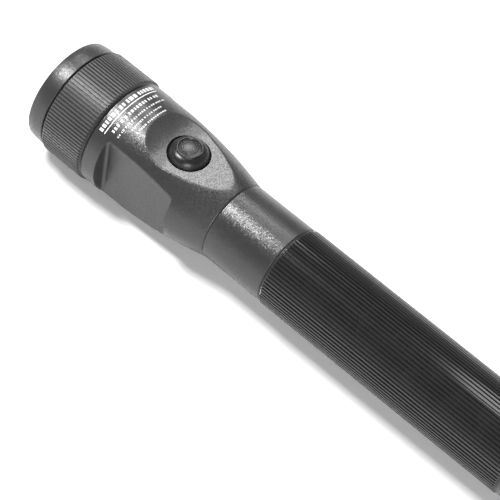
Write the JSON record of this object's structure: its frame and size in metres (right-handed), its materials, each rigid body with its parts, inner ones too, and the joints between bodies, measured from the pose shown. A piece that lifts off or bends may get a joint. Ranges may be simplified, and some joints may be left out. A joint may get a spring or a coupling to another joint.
{
  "type": "tactical flashlight",
  "caption": "Rechargeable duty flashlight with a ribbed barrel, flared head with a side switch, screwed face cap and tail cap with its own switch.",
  "frame": {"origin": "centre of the bounding box's footprint, level with the lowest point of the head, so the light's axis is 20.2 mm above it", "axes": "the light's axis runs along X, with the beam toward -X and the tail toward +X; the head switch faces +Z"},
  "size_m": [0.225, 0.0404, 0.0404],
  "materials": {
    "anodised": "bead-blasted and black hard-anodised",
    "lens": "clear polycarbonate",
    "rubber": "satin",
    "mirror": "vacuum-metallised",
    "phosphor": "clear dome over yellow phosphor",
    "circuit_board": "solder mask",
    "bare_alloy": "as turned",
    "black_plastic": "moulded",
    "steel": "bright",
    "brass": "gold-plated",
    "cell_wrap": "shrink film",
    "sleeve": "shrink tube"
  },
  "bodies": {
    "handle": {"led_emitter": "phosphor", "led_board": "circuit_board", "heat_sink": "bare_alloy", "head_body": "anodised", "face_cap_oring": "rubber", "head_switch_retainer": "steel", "head_switch_housing": "black_plastic", "head_switch_dome": "brass", "head_switch_spring": "steel", "head_switch_board": "circuit_board", "charge_insert": "black_plastic", "charge_contact_front": "brass", "charge_contact_rear": "brass", "barrel": "anodised", "front_contact_disc": "black_plastic", "front_contact_pin": "brass", "battery_nub": "steel", "battery_cell_front": "cell_wrap", "battery_cell_middle": "cell_wrap", "battery_cell_rear": "cell_wrap", "battery_sleeve": "sleeve"},
    "tail_contact": {"tail_contact_plate": "brass", "tail_spring": "steel"},
    "tail_cap_body": {"tail_cap": "anodised", "tail_cap_oring": "rubber", "tail_switch_board": "circuit_board", "tail_switch_housing": "black_plastic", "tail_switch_dome": "brass", "tail_switch_spring": "steel", "tail_switch_retainer": "steel"},
    "tail_button": {"tail_switch_boot": "rubber", "tail_switch_plunger": "black_plastic"},
    "optic": {"lens": "lens", "lens_gasket": "rubber", "reflector": "mirror"},
    "face_cap_body": {"face_cap": "anodised"},
    "head_button": {"head_switch_boot": "rubber", "head_switch_plunger": "black_plastic"}
  },
  "joints": [
    {"name": "optic_slide", "type": "slide", "parent": "handle", "child": "optic", "axis": [-1, 0, 0], "range_m": [0, 0.003]},
    {"name": "face_cap_unscrew", "type": "hinge", "parent": "optic", "child": "face_cap_body", "pos_m": [-0.1005, 0, 0.0202], "axis": [-1, 0, 0], "range_deg": [0, 1080]},
    {"name": "head_switch_press", "type": "slide", "parent": "handle", "child": "head_button", "axis": [0, 0, -1], "range_m": [0, 0.0012], "stiffness_N_per_m": 1500, "deforming": ["head_switch_spring"]},
    {"name": "tail_contact_slide", "type": "slide", "parent": "handle", "child": "tail_contact", "axis": [1, 0, 0], "range_m": [0, 0.004]},
    {"name": "tail_cap_unscrew", "type": "hinge", "parent": "tail_contact", "child": "tail_cap_body", "pos_m": [0.0975, 0, 0.0202], "axis": [1, 0, 0], "range_deg": [0, 1440]},
    {"name": "tail_switch_press", "type": "slide", "parent": "tail_cap_body", "child": "tail_button", "axis": [-1, 0, 0], "range_m": [0, 0.0014], "stiffness_N_per_m": 1500, "deforming": ["tail_switch_spring"]}
  ],
  "couplings": [
    {"joint": "optic_slide", "follows": "face_cap_unscrew", "m_per_rad": 0.000159},
    {"joint": "tail_contact_slide", "follows": "tail_cap_unscrew", "m_per_rad": 0.000159}
  ]
}
